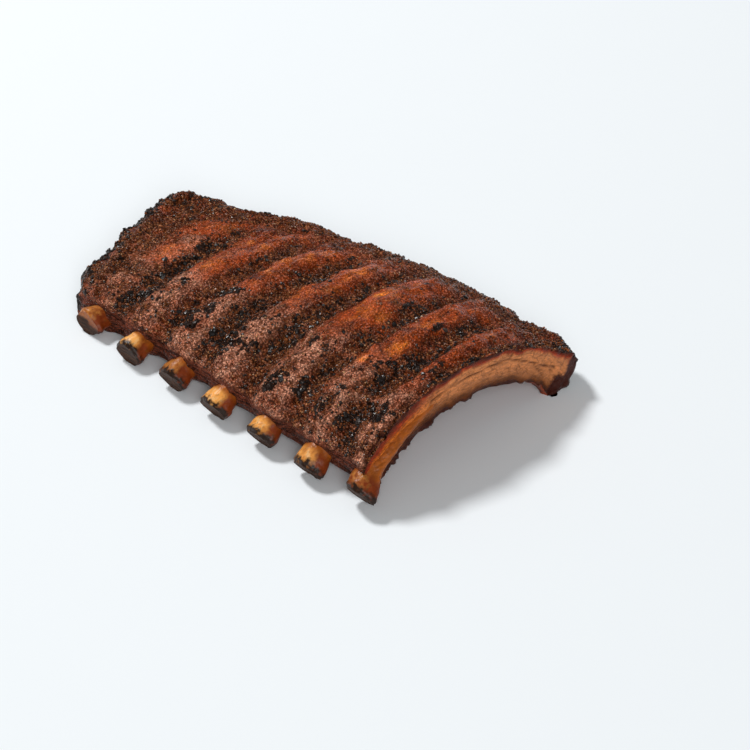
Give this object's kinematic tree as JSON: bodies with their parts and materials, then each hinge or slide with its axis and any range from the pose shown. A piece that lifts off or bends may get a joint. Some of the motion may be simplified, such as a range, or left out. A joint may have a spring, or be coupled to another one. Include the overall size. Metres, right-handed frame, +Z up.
{
  "type": "rack of ribs",
  "caption": "Arched rack of smoked pork back ribs with a dark spice crust, bone tips along one edge and one end freshly cut; food to serve or slice.",
  "frame": {"origin": "middle of the bounding box's bottom face, on the surface that the rack stands on", "axes": "+X along the rack, across the bones, towards the freshly cut end; +Y towards the thick meaty edge, with the bone tips at -Y; +Z up, out of the crust"},
  "size_m": [0.2195, 0.1386, 0.0402],
  "materials": {
    "smoked_bark": "satin",
    "smoked_bone": "satin"
  },
  "bodies": {
    "root": {"meat": "smoked_bark", "bone_1": "smoked_bone", "bone_2": "smoked_bone", "bone_3": "smoked_bone", "bone_4": "smoked_bone", "bone_5": "smoked_bone", "bone_6": "smoked_bone", "bone_7": "smoked_bone"}
  },
  "joints": []
}
